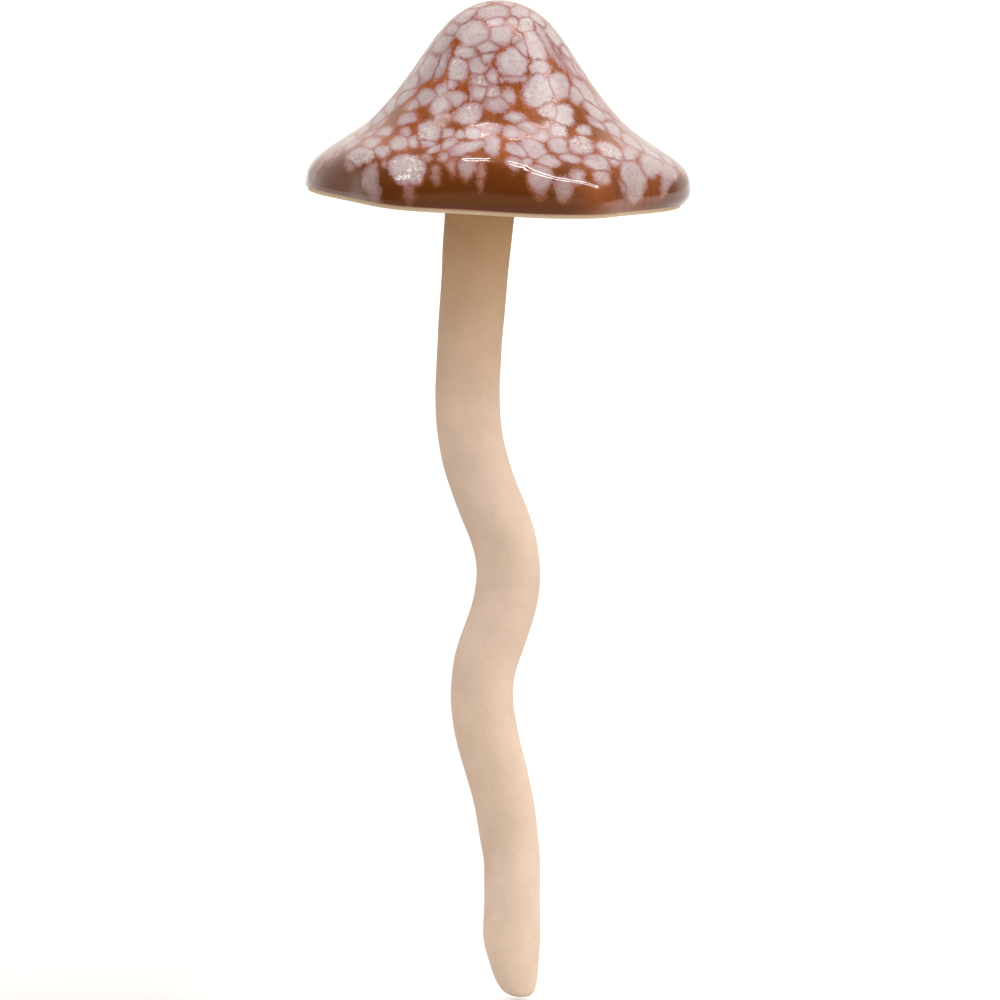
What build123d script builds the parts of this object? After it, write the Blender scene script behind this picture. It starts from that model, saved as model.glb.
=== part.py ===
from build123d import *
import os
from math import cos, pi, radians, sin

# Garden mushroom in two fired ceramic parts: a glazed bell shaped cap that seats on a wavy bare clay stem.
# The origin is on the axis of the straight foot, at the soil line. +Z runs up the foot, -Y is the front.

# Cap, measured from the crown down along its own axis
cap_height = 59.6
cap_reach = 57.8
cap_tilt = 1.0
rim_tilt = 2.6
crown_shift = 0.5
clay_wall = 5.2
glaze_coat = 0.8
bare_rim = 1.3
rim_points = 48

# Stem, from the soil line up to the shoulder where the seat begins
stem_rise = 225.4
stem_sway = 13.3
stem_radius = 10.6

# Straight foot that a sleeve or a drilled base takes, and the rounded tip under it
foot_radius = 8.45
foot_depth = 22.0
foot_above_soil = 2.0
tip_length = 16.0
tip_lean = 3.2

# Seat: the straight top of the stem stands in a clay cup under the crown
seat_lean = 6.0
seat_radius = 10.3
seat_length = 25.0
seat_rounding = 1.2
seat_clearance = 0.4
socket_wall = 3.5
socket_depth = 18.0
socket_mouth = 0.8

overrun = 4.0

# Depth as a share of the cap's height, then the radius under a lobe and in a valley as shares of its reach
bell_shares = (
    (0.000, 0.030, 0.030),
    (0.0085, 0.078, 0.078),
    (0.031, 0.143, 0.143),
    (0.077, 0.222, 0.222),
    (0.153, 0.300, 0.300),
    (0.247, 0.371, 0.371),
    (0.349, 0.441, 0.441),
    (0.459, 0.522, 0.520),
    (0.561, 0.608, 0.610),
    (0.655, 0.706, 0.730),
    (0.731, 0.822, 0.846),
    (0.799, 0.930, 0.890),
    (0.859, 0.984, 0.912),
    (0.918, 1.000, 0.921),
    (0.969, 0.996, 0.920),
    (1.000, 0.974, 0.908),
)

# Lobes and valleys round the rim: turn in degrees from the front towards +X, and how far each one swells
rim_waves = (
    (-90, 0.88),
    (-57, 0.05),
    (-32, 0.85),
    (-8, 0.00),
    (28, 1.10),
    (51, 0.12),
    (88, 1.12),
    (122, 0.10),
    (152, 0.85),
    (184, 0.00),
    (213, 1.05),
    (241, 0.08),
    (270, 0.88),
)

# Height as a share of the rise, sideways place as a share of the sway, radius as a share of the stem's
bend_shares = (
    (0.050, -0.075, 0.830),
    (0.096, -0.190, 0.854),
    (0.143, -0.390, 0.877),
    (0.190, -0.586, 0.887),
    (0.237, -0.684, 0.892),
    (0.281, -0.600, 0.900),
    (0.326, -0.346, 0.910),
    (0.371, -0.128, 0.910),
    (0.411, -0.083, 0.906),
    (0.451, -0.210, 0.915),
    (0.498, -0.511, 0.929),
    (0.541, -0.767, 0.925),
    (0.585, -0.940, 0.920),
    (0.638, -1.000, 0.920),
    (0.705, -0.962, 0.925),
    (0.779, -0.872, 0.948),
    (0.859, -0.760, 0.981),
    (0.935, -0.645, 1.000),
)
shoulder_sway_share = -0.530

# Depth below the foot as a share of the tip, sideways place as a share of its lean, share of the foot radius
tip_shares = (
    (0.38, 0.20, 0.870),
    (0.66, 0.39, 0.763),
    (0.85, 0.58, 0.615),
    (0.96, 0.78, 0.410),
    (1.00, 0.92, 0.200),
)


def swell(turn):
    """How far the rim swells at a turn in degrees: 0 in a valley, 1 on a full lobe."""
    first, last = rim_waves[0][0], rim_waves[-1][0]
    turn = first + (turn - first) % (last - first)
    for (start, low), (end, high) in zip(rim_waves, rim_waves[1:]):
        if start <= turn <= end:
            ease = (1 - cos(pi * (turn - start) / (end - start))) / 2
            return low + (high - low) * ease
    return rim_waves[0][1]


def outline(inset):
    """Depth, lobe radius and valley radius of each level of a bell that lies a thickness inside the glaze."""
    height, reach = cap_height - inset, cap_reach - inset
    return [(inset + d * height, lobe * reach, valley * reach) for d, lobe, valley in bell_shares]


def depth_where(radius, inset):
    """Depth at which the valleys of the bell that lies a thickness inside the glaze have a radius."""
    levels = outline(inset)
    for (high, _, narrow), (low, _, wide) in zip(levels, levels[1:]):
        if narrow <= radius <= wide:
            return high + (low - high) * (radius - narrow) / (wide - narrow)


def bell(inset):
    """Closed bell whose outside lies a thickness inside the glazed surface, and which runs on under the rim."""
    levels = outline(inset)
    levels.append((cap_height + overrun, *levels[-1][1:]))
    with BuildPart() as form:
        for depth, lobe, valley in levels:
            ring = []
            for step in range(rim_points):
                turn = 360 * step / rim_points
                radius = valley + (lobe - valley) * swell(turn)
                ring.append((-radius * cos(radians(turn)), -radius * sin(radians(turn))))
            with BuildSketch(crown_plane.offset(-depth)):
                with BuildLine():
                    Spline(*ring, periodic=True)
                make_face()
        loft()
    return form.part


# The seat lies where the hollow under the crown is as wide as the outside of the socket
hollow_inset = glaze_coat + clay_wall
socket_bore = seat_radius + seat_clearance
socket_radius = socket_bore + socket_wall
crown_over_seat = depth_where(socket_radius, hollow_inset)

seat_direction = Vector(sin(radians(seat_lean)), 0, cos(radians(seat_lean)))
cap_direction = Vector(sin(radians(cap_tilt)), 0, cos(radians(cap_tilt)))
rim_direction = Vector(sin(radians(rim_tilt)), 0, cos(radians(rim_tilt)))
shoulder = Vector(shoulder_sway_share * stem_sway, 0, stem_rise)
seat_plane = Plane(shoulder + seat_direction * seat_length, x_dir=(0, 1, 0), z_dir=seat_direction)
crown = seat_plane.origin + cap_direction * crown_over_seat + Vector(crown_shift, 0, 0)
crown_plane = Plane(crown, x_dir=(0, 1, 0), z_dir=cap_direction)
rim_plane = Plane(crown - cap_direction * cap_height, x_dir=(0, 1, 0), z_dir=rim_direction)

clay_form = bell(glaze_coat)
hollow_form = bell(hollow_inset)

with BuildPart() as cap_glaze:
    add(bell(0))
    add(clay_form, mode=Mode.SUBTRACT)
    split(bisect_by=rim_plane.offset(bare_rim), keep=Keep.TOP)
cap_glaze.part.label = "cap_glaze"

with BuildPart() as cap_body:
    add(clay_form)
    add(hollow_form, mode=Mode.SUBTRACT)
    split(bisect_by=rim_plane, keep=Keep.TOP)
cap_body.part.label = "cap_body"

with BuildPart() as stem_socket:
    add(hollow_form)
    with BuildSketch(seat_plane.offset(-socket_depth)):
        Circle(socket_radius)
    extrude(amount=socket_depth + crown_over_seat, mode=Mode.INTERSECT)
    with BuildSketch(seat_plane):
        Circle(socket_bore)
    extrude(amount=-socket_depth - overrun, mode=Mode.SUBTRACT)
    mouth = stem_socket.edges().filter_by(GeomType.CIRCLE).sort_by(Axis.Z)[:2]
    chamfer(mouth, socket_mouth)
stem_socket.part.label = "stem_socket"

spine = [Vector(0, 0, 0)]
spine += [Vector(sway * stem_sway, 0, rise * stem_rise) for rise, sway, girth in bend_shares]
spine += [shoulder]

with BuildPart() as stem:
    with BuildSketch(Plane.XY.offset(-foot_depth)):
        Circle(foot_radius)
    extrude(amount=foot_depth + foot_above_soil)

    with BuildSketch(Plane.XY.offset(foot_above_soil)):
        Circle(foot_radius)
    for index, (rise, sway, girth) in enumerate(bend_shares, start=1):
        along = spine[index + 1] - spine[index - 1]
        with BuildSketch(Plane(spine[index], x_dir=(0, 1, 0), z_dir=along)):
            Circle(girth * stem_radius)
    with BuildSketch(Plane(shoulder, x_dir=(0, 1, 0), z_dir=seat_direction)):
        Circle(seat_radius)
    loft()

    with BuildSketch(Plane(shoulder, x_dir=(0, 1, 0), z_dir=seat_direction)):
        Circle(seat_radius)
    extrude(amount=seat_length)
    seat_rim = stem.faces().sort_by(Axis.Z)[-1].edges()
    fillet(seat_rim, seat_rounding)

    with BuildSketch(Plane.XY.offset(-foot_depth)):
        Circle(foot_radius)
    for depth, lean, girth in tip_shares:
        with BuildSketch(Plane(Vector(lean * tip_lean, 0, -foot_depth - depth * tip_length))):
            Circle(girth * foot_radius)
    loft()
stem.part.label = "stem"

os.makedirs("parts", exist_ok=True)
for piece in (cap_body, cap_glaze, stem_socket, stem):
    export_step(piece.part, f"parts/{piece.part.label}.step")
    print(piece.part.label, round(piece.part.volume), piece.part.bounding_box())
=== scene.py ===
"""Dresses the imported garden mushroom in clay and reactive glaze, and lights it as it was photographed."""

import logging
from dataclasses import dataclass, field
from enum import Enum
from functools import cached_property
from math import ceil, cos, hypot, pi, radians, sin
from typing import Any, Callable, Sequence

import bpy
import numpy as np
from mathutils import Matrix, Vector, noise
from mathutils.bvhtree import BVHTree


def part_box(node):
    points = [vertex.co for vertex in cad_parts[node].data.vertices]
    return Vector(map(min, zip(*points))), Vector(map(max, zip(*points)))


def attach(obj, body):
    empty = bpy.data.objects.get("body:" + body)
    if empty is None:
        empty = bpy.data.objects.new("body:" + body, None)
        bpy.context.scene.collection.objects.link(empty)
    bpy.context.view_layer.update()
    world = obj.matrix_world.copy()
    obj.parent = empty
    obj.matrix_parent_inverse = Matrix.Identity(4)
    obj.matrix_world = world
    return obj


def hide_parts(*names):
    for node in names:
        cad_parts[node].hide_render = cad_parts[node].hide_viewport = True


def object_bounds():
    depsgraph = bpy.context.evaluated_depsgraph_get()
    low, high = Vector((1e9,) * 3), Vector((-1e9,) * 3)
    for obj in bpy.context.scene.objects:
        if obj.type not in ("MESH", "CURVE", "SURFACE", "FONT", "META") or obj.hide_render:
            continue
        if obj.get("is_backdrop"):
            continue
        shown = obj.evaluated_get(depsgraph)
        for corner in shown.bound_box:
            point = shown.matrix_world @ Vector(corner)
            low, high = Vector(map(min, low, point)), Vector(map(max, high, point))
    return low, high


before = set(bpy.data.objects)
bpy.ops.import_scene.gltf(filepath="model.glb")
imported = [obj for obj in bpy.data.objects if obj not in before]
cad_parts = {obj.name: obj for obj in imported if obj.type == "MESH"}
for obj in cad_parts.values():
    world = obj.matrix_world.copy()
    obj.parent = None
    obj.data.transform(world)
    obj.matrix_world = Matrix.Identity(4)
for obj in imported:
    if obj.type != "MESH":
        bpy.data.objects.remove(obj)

MM = 0.001  # in metres
TURNS = 440  # steps round the glaze coat
WELD_GAP = 0.002 * MM  # points nearer than this are one
WANDER_SEED = 7  # keeps the wandering noise the same in each run
log = logging.getLogger("mushroom")

Colour = tuple[float, float, float]
Points = Sequence[tuple[float, ...]]
Span = tuple[float, float]
Curve = Callable[[np.ndarray], np.ndarray]
Socket = bpy.types.NodeSocket


class Body(Enum):
    """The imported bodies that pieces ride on."""

    STEM = "stem"
    CAP = "cap"


class Slot(Enum):
    """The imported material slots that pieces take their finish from."""

    CLAY = "clay"
    GLAZE = "glaze"


class Crystal(Enum):
    """How a white spot of the glaze has grown."""

    PLAIN = "plain"
    LACY = "lacy"
    BURST = "burst"
    DRIP = "drip"
    FAINT = "faint"


PLAIN, LACY, BURST, DRIP, FAINT = Crystal


# Curves and small helpers


def smooth_curve(knots: np.ndarray, values: np.ndarray) -> Curve:
    """Natural cubic curve through values at rising knots.

    Args:
        knots: Rising places of the values.
        values: The values at the knots.

    Returns:
        A function that gives the curve at any array of places.
    """
    gaps = np.diff(knots)
    slopes = np.diff(values) / gaps
    count = len(knots)
    system = np.eye(count)
    pull = np.zeros(count)
    for i in range(1, count - 1):
        system[i, i - 1 : i + 2] = gaps[i - 1], 2 * (gaps[i - 1] + gaps[i]), gaps[i]
        pull[i] = 6 * (slopes[i] - slopes[i - 1])
    bend = np.linalg.solve(system, pull)

    def curve(at: np.ndarray) -> np.ndarray:
        """The curve's values at an array of places."""
        at = np.asarray(at, float)
        i = np.clip(np.searchsorted(knots, at, side="right") - 1, 0, count - 2)
        left, right, gap = knots[i + 1] - at, at - knots[i], gaps[i]
        cubic = (bend[i] * left**3 + bend[i + 1] * right**3) / (6 * gap)
        start = values[i] / gap - bend[i] * gap / 6
        end = values[i + 1] / gap - bend[i + 1] * gap / 6
        return cubic + start * left + end * right

    return curve


def ease(value: np.ndarray, low: float, high: float) -> np.ndarray:
    """Eased step from 0 at low to 1 at high."""
    share = np.clip((value - low) / (high - low), 0, 1)
    return share * share * (3 - 2 * share)


def unit(vectors: np.ndarray) -> np.ndarray:
    """The same directions with a length of 1."""
    return vectors / np.linalg.norm(vectors, axis=-1, keepdims=True)


def drift(places: np.ndarray, wave: float, seed: float) -> np.ndarray:
    """Smooth wandering vectors, about -1 to 1, that change over a wavelength.

    Args:
        places: Points in metres.
        wave: Wavelength in metres.
        seed: Shift that makes one field unlike another.

    Returns:
        One vector for each point.
    """
    shift = Vector((seed, -seed, 2 * seed))
    return np.array([noise.noise_vector(Vector(p) / wave + shift) for p in places])


def paint(red: int, green: int, blue: int) -> Colour:
    """Scene-linear colour of a screen colour given in 0 to 255."""
    shares = (red / 255, green / 255, blue / 255)
    return tuple(s / 12.92 if s <= 0.04045 else ((s + 0.055) / 1.055) ** 2.4 for s in shares)


# Mesh work


def fresh_mesh(name: str) -> bpy.types.Object:
    """Names the object that an operator has just added, and its mesh."""
    piece = bpy.context.active_object
    piece.name = piece.data.name = name
    return piece


def corners(piece: bpy.types.Object) -> np.ndarray:
    """The places of a mesh's vertices, one row each."""
    flat = np.zeros(len(piece.data.vertices) * 3)
    piece.data.vertices.foreach_get("co", flat)
    return flat.reshape(-1, 3)


def move_corners(piece: bpy.types.Object, places: np.ndarray) -> None:
    """Puts a mesh's vertices at new places."""
    piece.data.vertices.foreach_set("co", np.asarray(places, float).ravel())
    piece.data.update()


def write_attribute(piece: bpy.types.Object, name: str, values: np.ndarray) -> None:
    """Keeps one number, or one vector, at each vertex of a mesh for its finish to read."""
    vector = values.ndim == 2
    layer = piece.data.attributes.new(name, "FLOAT_VECTOR" if vector else "FLOAT", "POINT")
    layer.data.foreach_set("vector" if vector else "value", values.astype(np.float32).ravel())


def spin_profile(name: str, profile: np.ndarray, steps: int = TURNS) -> bpy.types.Object:
    """Draws a closed profile vertex by vertex and turns it round the upright axis.

    Args:
        name: Name of the new piece.
        profile: Radius and height of each point, from the axis round to the axis.
        steps: Number of steps in the full turn.

    Returns:
        A closed shell with its faces outwards.
    """
    bpy.ops.object.select_all(action="DESELECT")
    start_radius, start_height = profile[0]
    bpy.ops.mesh.primitive_plane_add(size=MM, location=(0, 0, 0))
    piece = fresh_mesh(name)
    bpy.ops.object.mode_set(mode="EDIT")
    bpy.ops.mesh.merge(type="CENTER")
    bpy.ops.transform.translate(value=(start_radius, 0, start_height))
    for (radius, height), (next_radius, next_height) in zip(profile, profile[1:]):
        step = (next_radius - radius, 0, next_height - height)
        bpy.ops.mesh.extrude_vertices_move(TRANSFORM_OT_translate={"value": step})
    bpy.ops.object.mode_set(mode="OBJECT")
    turn = piece.modifiers.new("turn", "SCREW")
    turn.axis, turn.angle, turn.screw_offset = "Z", 2 * pi, 0
    turn.steps = turn.render_steps = steps
    turn.use_merge_vertices = True
    turn.merge_threshold = WELD_GAP
    bpy.ops.object.modifier_apply(modifier=turn.name)
    bpy.ops.object.mode_set(mode="EDIT")
    bpy.ops.mesh.select_all(action="SELECT")
    bpy.ops.mesh.remove_doubles(threshold=WELD_GAP)
    bpy.ops.mesh.normals_make_consistent(inside=False)
    bpy.ops.object.mode_set(mode="OBJECT")
    bpy.ops.object.shade_smooth()
    return piece


def read_stations(
    piece: bpy.types.Object, profile: np.ndarray, batches: int = 40
) -> tuple[np.ndarray, np.ndarray]:
    """Finds which profile point each vertex of a spun piece came from, and its turn.

    Args:
        piece: A piece made by spin_profile.
        profile: The profile that it was spun from.
        batches: Number of parts in which the vertices are looked up, to save memory.

    Returns:
        The index of the profile point, and the turn from the front towards +X in radians.
    """
    places = corners(piece)
    around = np.stack((np.hypot(places[:, 0], places[:, 1]), places[:, 2]), axis=1)
    station = np.empty(len(places), int)
    for part in np.array_split(np.arange(len(places)), batches):
        gaps = around[part, None, :] - profile[None, :, :]
        station[part] = np.argmin((gaps**2).sum(2), axis=1)
    return station, np.arctan2(places[:, 0], -places[:, 1])


def settle(piece: bpy.types.Object, body: Body, node: str, finish: bpy.types.Material) -> None:
    """Dresses a finished piece, hangs it on its body and lets it stand for its solid.

    Args:
        piece: The finished mesh.
        body: The body that it rides on.
        node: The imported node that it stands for.
        finish: Its material.
    """
    piece.data.materials.clear()
    piece.data.materials.append(finish)
    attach(piece, body.value)
    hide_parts(node)


# The photograph


@dataclass(frozen=True)
class PhotoView:
    """The long lens that took the photograph, in metres, with its sensor in millimetres."""

    distance: float = 6.0
    lens: float = 720.0
    sensor: float = 36.0
    elevation: float = radians(6.8)
    aim_across: float = -3.6 * MM
    aim_height: float = 112.5 * MM
    clip: Span = (0.1, 100.0)
    pixels: int = 1000

    @property
    def ahead(self) -> Vector:
        """Direction in which the camera looks."""
        return Vector((0, cos(self.elevation), -sin(self.elevation)))

    @property
    def up(self) -> Vector:
        """Direction of the picture's upper edge."""
        return Vector((0, sin(self.elevation), cos(self.elevation)))

    @property
    def place(self) -> Vector:
        """Where the camera stands."""
        return Vector((self.aim_across, 0, self.aim_height)) - self.distance * self.ahead

    @property
    def pixel(self) -> float:
        """Width of a pixel at the object."""
        return self.sensor / self.lens * self.distance / self.pixels

    def ray(self, across: float, down: float) -> Vector:
        """Direction of the sight line through a pixel of the photograph."""
        middle = (self.pixels - 1) / 2
        share = self.sensor / self.lens / self.pixels
        sideways = Vector((1, 0, 0)) * (across - middle) * share
        return (self.ahead + sideways + self.up * (middle - down) * share).normalized()

    def set_up(self) -> None:
        """Puts the camera there and makes it the scene's own."""
        bpy.ops.object.camera_add(location=self.place, rotation=(pi / 2 - self.elevation, 0, 0))
        camera = bpy.context.active_object
        camera.name = "photo_camera"
        camera.data.lens = self.lens
        camera.data.sensor_width = self.sensor
        camera.data.clip_start, camera.data.clip_end = self.clip
        bpy.context.scene.camera = camera


# Node wiring


class Wiring:
    """Adds nodes to one tree and joins them. Plain numbers and colours are written on their sockets."""

    def __init__(self, tree: bpy.types.NodeTree) -> None:
        """Starts on an empty tree."""
        self.tree = tree

    def feed(self, socket: Socket, value: Any) -> None:
        """Joins a socket to another, or writes a plain value on it."""
        if isinstance(value, Socket):
            self.tree.links.new(value, socket)
        elif isinstance(value, tuple) and socket.type == "RGBA":
            socket.default_value = (*value, 1)
        else:
            socket.default_value = value

    def add(self, kind: str, inputs: dict[str | int, Any], **settings: Any) -> bpy.types.Node:
        """Adds one node.

        Args:
            kind: Type of the node, without its common prefix.
            inputs: What feeds each input, by name or number.
            **settings: The node's own settings.

        Returns:
            The new node.
        """
        node = self.tree.nodes.new("ShaderNode" + kind)
        for name, value in settings.items():
            setattr(node, name, value)
        for name, value in inputs.items():
            self.feed(node.inputs[name], value)
        return node

    def sum(self, first: Any, second: Any) -> Socket:
        """First plus second."""
        return self.add("Math", {0: first, 1: second}, operation="ADD").outputs[0]

    def less(self, first: Any, second: Any) -> Socket:
        """First minus second."""
        return self.add("Math", {0: first, 1: second}, operation="SUBTRACT").outputs[0]

    def times(self, first: Any, second: Any) -> Socket:
        """First times second."""
        return self.add("Math", {0: first, 1: second}, operation="MULTIPLY").outputs[0]

    def larger(self, first: Any, second: Any) -> Socket:
        """The larger of the two."""
        return self.add("Math", {0: first, 1: second}, operation="MAXIMUM").outputs[0]

    def smaller(self, first: Any, second: Any) -> Socket:
        """The smaller of the two."""
        return self.add("Math", {0: first, 1: second}, operation="MINIMUM").outputs[0]

    def step(self, value: Any, low: Any, high: Any, start: float = 0, end: float = 1) -> Socket:
        """Eased step of a value from start at low to end at high."""
        inputs = {0: value, 1: low, 2: high, 3: start, 4: end}
        return self.add("MapRange", inputs, interpolation_type="SMOOTHSTEP").outputs[0]

    def mix(self, share: Any, first: Any, second: Any, blend: str = "MIX") -> Socket:
        """Two colours mixed by a share."""
        node = self.add("Mix", {0: share, 6: first, 7: second}, data_type="RGBA", blend_type=blend)
        return node.outputs[2]

    def noise(self, place: Any, size: float, detail: float = 2, roughness: float = 0.5) -> Socket:
        """Cloudy noise about 0.5, whose patches are about as wide as a size in metres."""
        inputs = {"Vector": place, "Scale": 0.5 / size, "Detail": detail, "Roughness": roughness}
        return self.add("TexNoise", inputs).outputs[0]

    def cells(self, place: Any, size: float) -> Socket:
        """Distance to the edge of scattered cells of a size in metres."""
        inputs = {"Vector": place, "Scale": 1 / size}
        return self.add("TexVoronoi", inputs, feature="DISTANCE_TO_EDGE").outputs["Distance"]

    def attribute(self, name: str, vector: bool = False) -> Socket:
        """A number or vector kept at the mesh's vertices."""
        node = self.add("Attribute", {}, attribute_name=name)
        return node.outputs["Vector" if vector else "Fac"]

    def own_place(self) -> Socket:
        """Place on the piece in metres."""
        return self.add("TexCoord", {}).outputs["Object"]

    def bump(self, height: Any, depth: float) -> Socket:
        """Normal of a surface that a height of 0 to 1 lifts by a depth in metres."""
        return self.add("Bump", {"Height": height, "Distance": depth, "Strength": 1.0}).outputs[0]


def start_material(name: str) -> tuple[bpy.types.Material, Wiring, bpy.types.Node]:
    """Makes an empty node material.

    Args:
        name: Its name.

    Returns:
        The material, the wiring of its tree and its output node.
    """
    material = bpy.data.materials.new(name)
    material.use_nodes = True
    material.node_tree.nodes.clear()
    wiring = Wiring(material.node_tree)
    return material, wiring, wiring.add("OutputMaterial", {})


class GrainGroup:
    """Fine fired grain, shared by the bare clay and the glaze: a mask of flecks, a soft tone and a height."""

    NAME = "fired_grain"
    FINE, COARSE, BROAD = 0.22 * MM, 0.55 * MM, 6 * MM
    FLECK_START, FLECK_GAIN, FLECK_EDGE = 0.62, 0.2, 0.09

    @classmethod
    def tree(cls) -> bpy.types.NodeTree:
        """The group's tree, built on first use."""
        if cls.NAME in bpy.data.node_groups:
            return bpy.data.node_groups[cls.NAME]
        tree = bpy.data.node_groups.new(cls.NAME, "ShaderNodeTree")
        for name, kind in (("Place", "Vector"), ("Fineness", "Float"), ("Cover", "Float")):
            tree.interface.new_socket(name, in_out="INPUT", socket_type="NodeSocket" + kind)
        for name in ("Flecks", "Tone", "Height"):
            tree.interface.new_socket(name, in_out="OUTPUT", socket_type="NodeSocketFloat")
        wiring = Wiring(tree)
        given = tree.nodes.new("NodeGroupInput").outputs
        result = tree.nodes.new("NodeGroupOutput")
        inputs = {0: given["Place"], 3: given["Fineness"]}
        scaled = wiring.add("VectorMath", inputs, operation="SCALE").outputs[0]
        fine = wiring.noise(scaled, cls.FINE, detail=2, roughness=0.6)
        coarse = wiring.noise(scaled, cls.COARSE, detail=3, roughness=0.65)
        broad = wiring.noise(scaled, cls.BROAD, detail=3, roughness=0.55)
        grain = wiring.sum(wiring.times(fine, 0.5), wiring.times(coarse, 0.5))
        edge = wiring.less(cls.FLECK_START, wiring.times(given["Cover"], cls.FLECK_GAIN))
        flecks = wiring.step(grain, edge, wiring.sum(edge, cls.FLECK_EDGE))
        for name, value in (("Flecks", flecks), ("Tone", broad), ("Height", grain)):
            wiring.feed(result.inputs[name], value)
        return tree

    @classmethod
    def place(cls, wiring: Wiring, place: Any, fineness: float, cover: float) -> bpy.types.Node:
        """Puts the group in a material.

        Args:
            wiring: The material's wiring.
            place: Where the pattern is read.
            fineness: 1 is the clay's own grain, and more is finer.
            cover: How much of the surface the flecks take, from 0 to 1.

        Returns:
            The group's node.
        """
        node = wiring.tree.nodes.new("ShaderNodeGroup")
        node.node_tree = cls.tree()
        for name, value in (("Place", place), ("Fineness", fineness), ("Cover", cover)):
            wiring.feed(node.inputs[name], value)
        return node


# Finishes


@dataclass(frozen=True)
class BisqueFinish:
    """Unglazed fired clay: matt, sandy and uneven in tone, with painted shade that makes it darker and warmer
    towards the top, where the cap shades it.
    """

    name: str
    body: Colour
    warm: Colour
    fleck: Colour
    # Painted shade: the colour towards the top stands for the cap's shade and its warm bounce light.
    painted_shade: Colour
    painted_shade_heights: Span = (118 * MM, 212 * MM)
    patch_size: float = 17 * MM
    patch_edge: Span = (0.36, 0.66)
    grain_cover: float = 0.42
    grain_depth: float = 0.05 * MM
    fleck_share: float = 0.28
    tone_edge: Span = (0.25, 0.75)
    tone_range: Span = (0.94, 1.05)
    sand_edge: Span = (0.32, 0.68)
    sand_range: Span = (0.93, 1.06)
    rough_edge: Span = (0.3, 0.7)
    roughness: Span = (0.78, 0.92)
    glint: float = 0.35

    def material(self) -> bpy.types.Material:
        """Builds the finish."""
        material, wiring, output = start_material(self.name)
        place = wiring.own_place()
        grain = GrainGroup.place(wiring, place, 1.0, self.grain_cover)
        patches = wiring.noise(place, self.patch_size, detail=4, roughness=0.55)
        colour = wiring.mix(wiring.step(patches, *self.patch_edge), self.body, self.warm)
        height = wiring.add("SeparateXYZ", {0: place}).outputs["Z"]
        # Painted shade: darker and warmer towards the top, where the cap shades the stem.
        colour = wiring.mix(wiring.step(height, *self.painted_shade_heights), colour, self.painted_shade)
        tone = wiring.step(grain.outputs["Tone"], *self.tone_edge, *self.tone_range)
        sand = wiring.step(grain.outputs["Height"], *self.sand_edge, *self.sand_range)
        shade = wiring.times(tone, sand)
        shade = wiring.add("CombineXYZ", {0: shade, 1: shade, 2: shade}).outputs[0]
        colour = wiring.mix(1.0, colour, shade, "MULTIPLY")
        colour = wiring.mix(wiring.times(grain.outputs["Flecks"], self.fleck_share), colour, self.fleck)
        rough = wiring.step(grain.outputs["Height"], *self.rough_edge, *self.roughness)
        normal = wiring.bump(grain.outputs["Height"], self.grain_depth)
        surface = wiring.add(
            "BsdfPrincipled",
            {"Base Color": colour, "Roughness": rough, "Normal": normal, "Specular IOR Level": self.glint},
        )
        wiring.feed(output.inputs["Surface"], surface.outputs[0])
        return material


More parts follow.
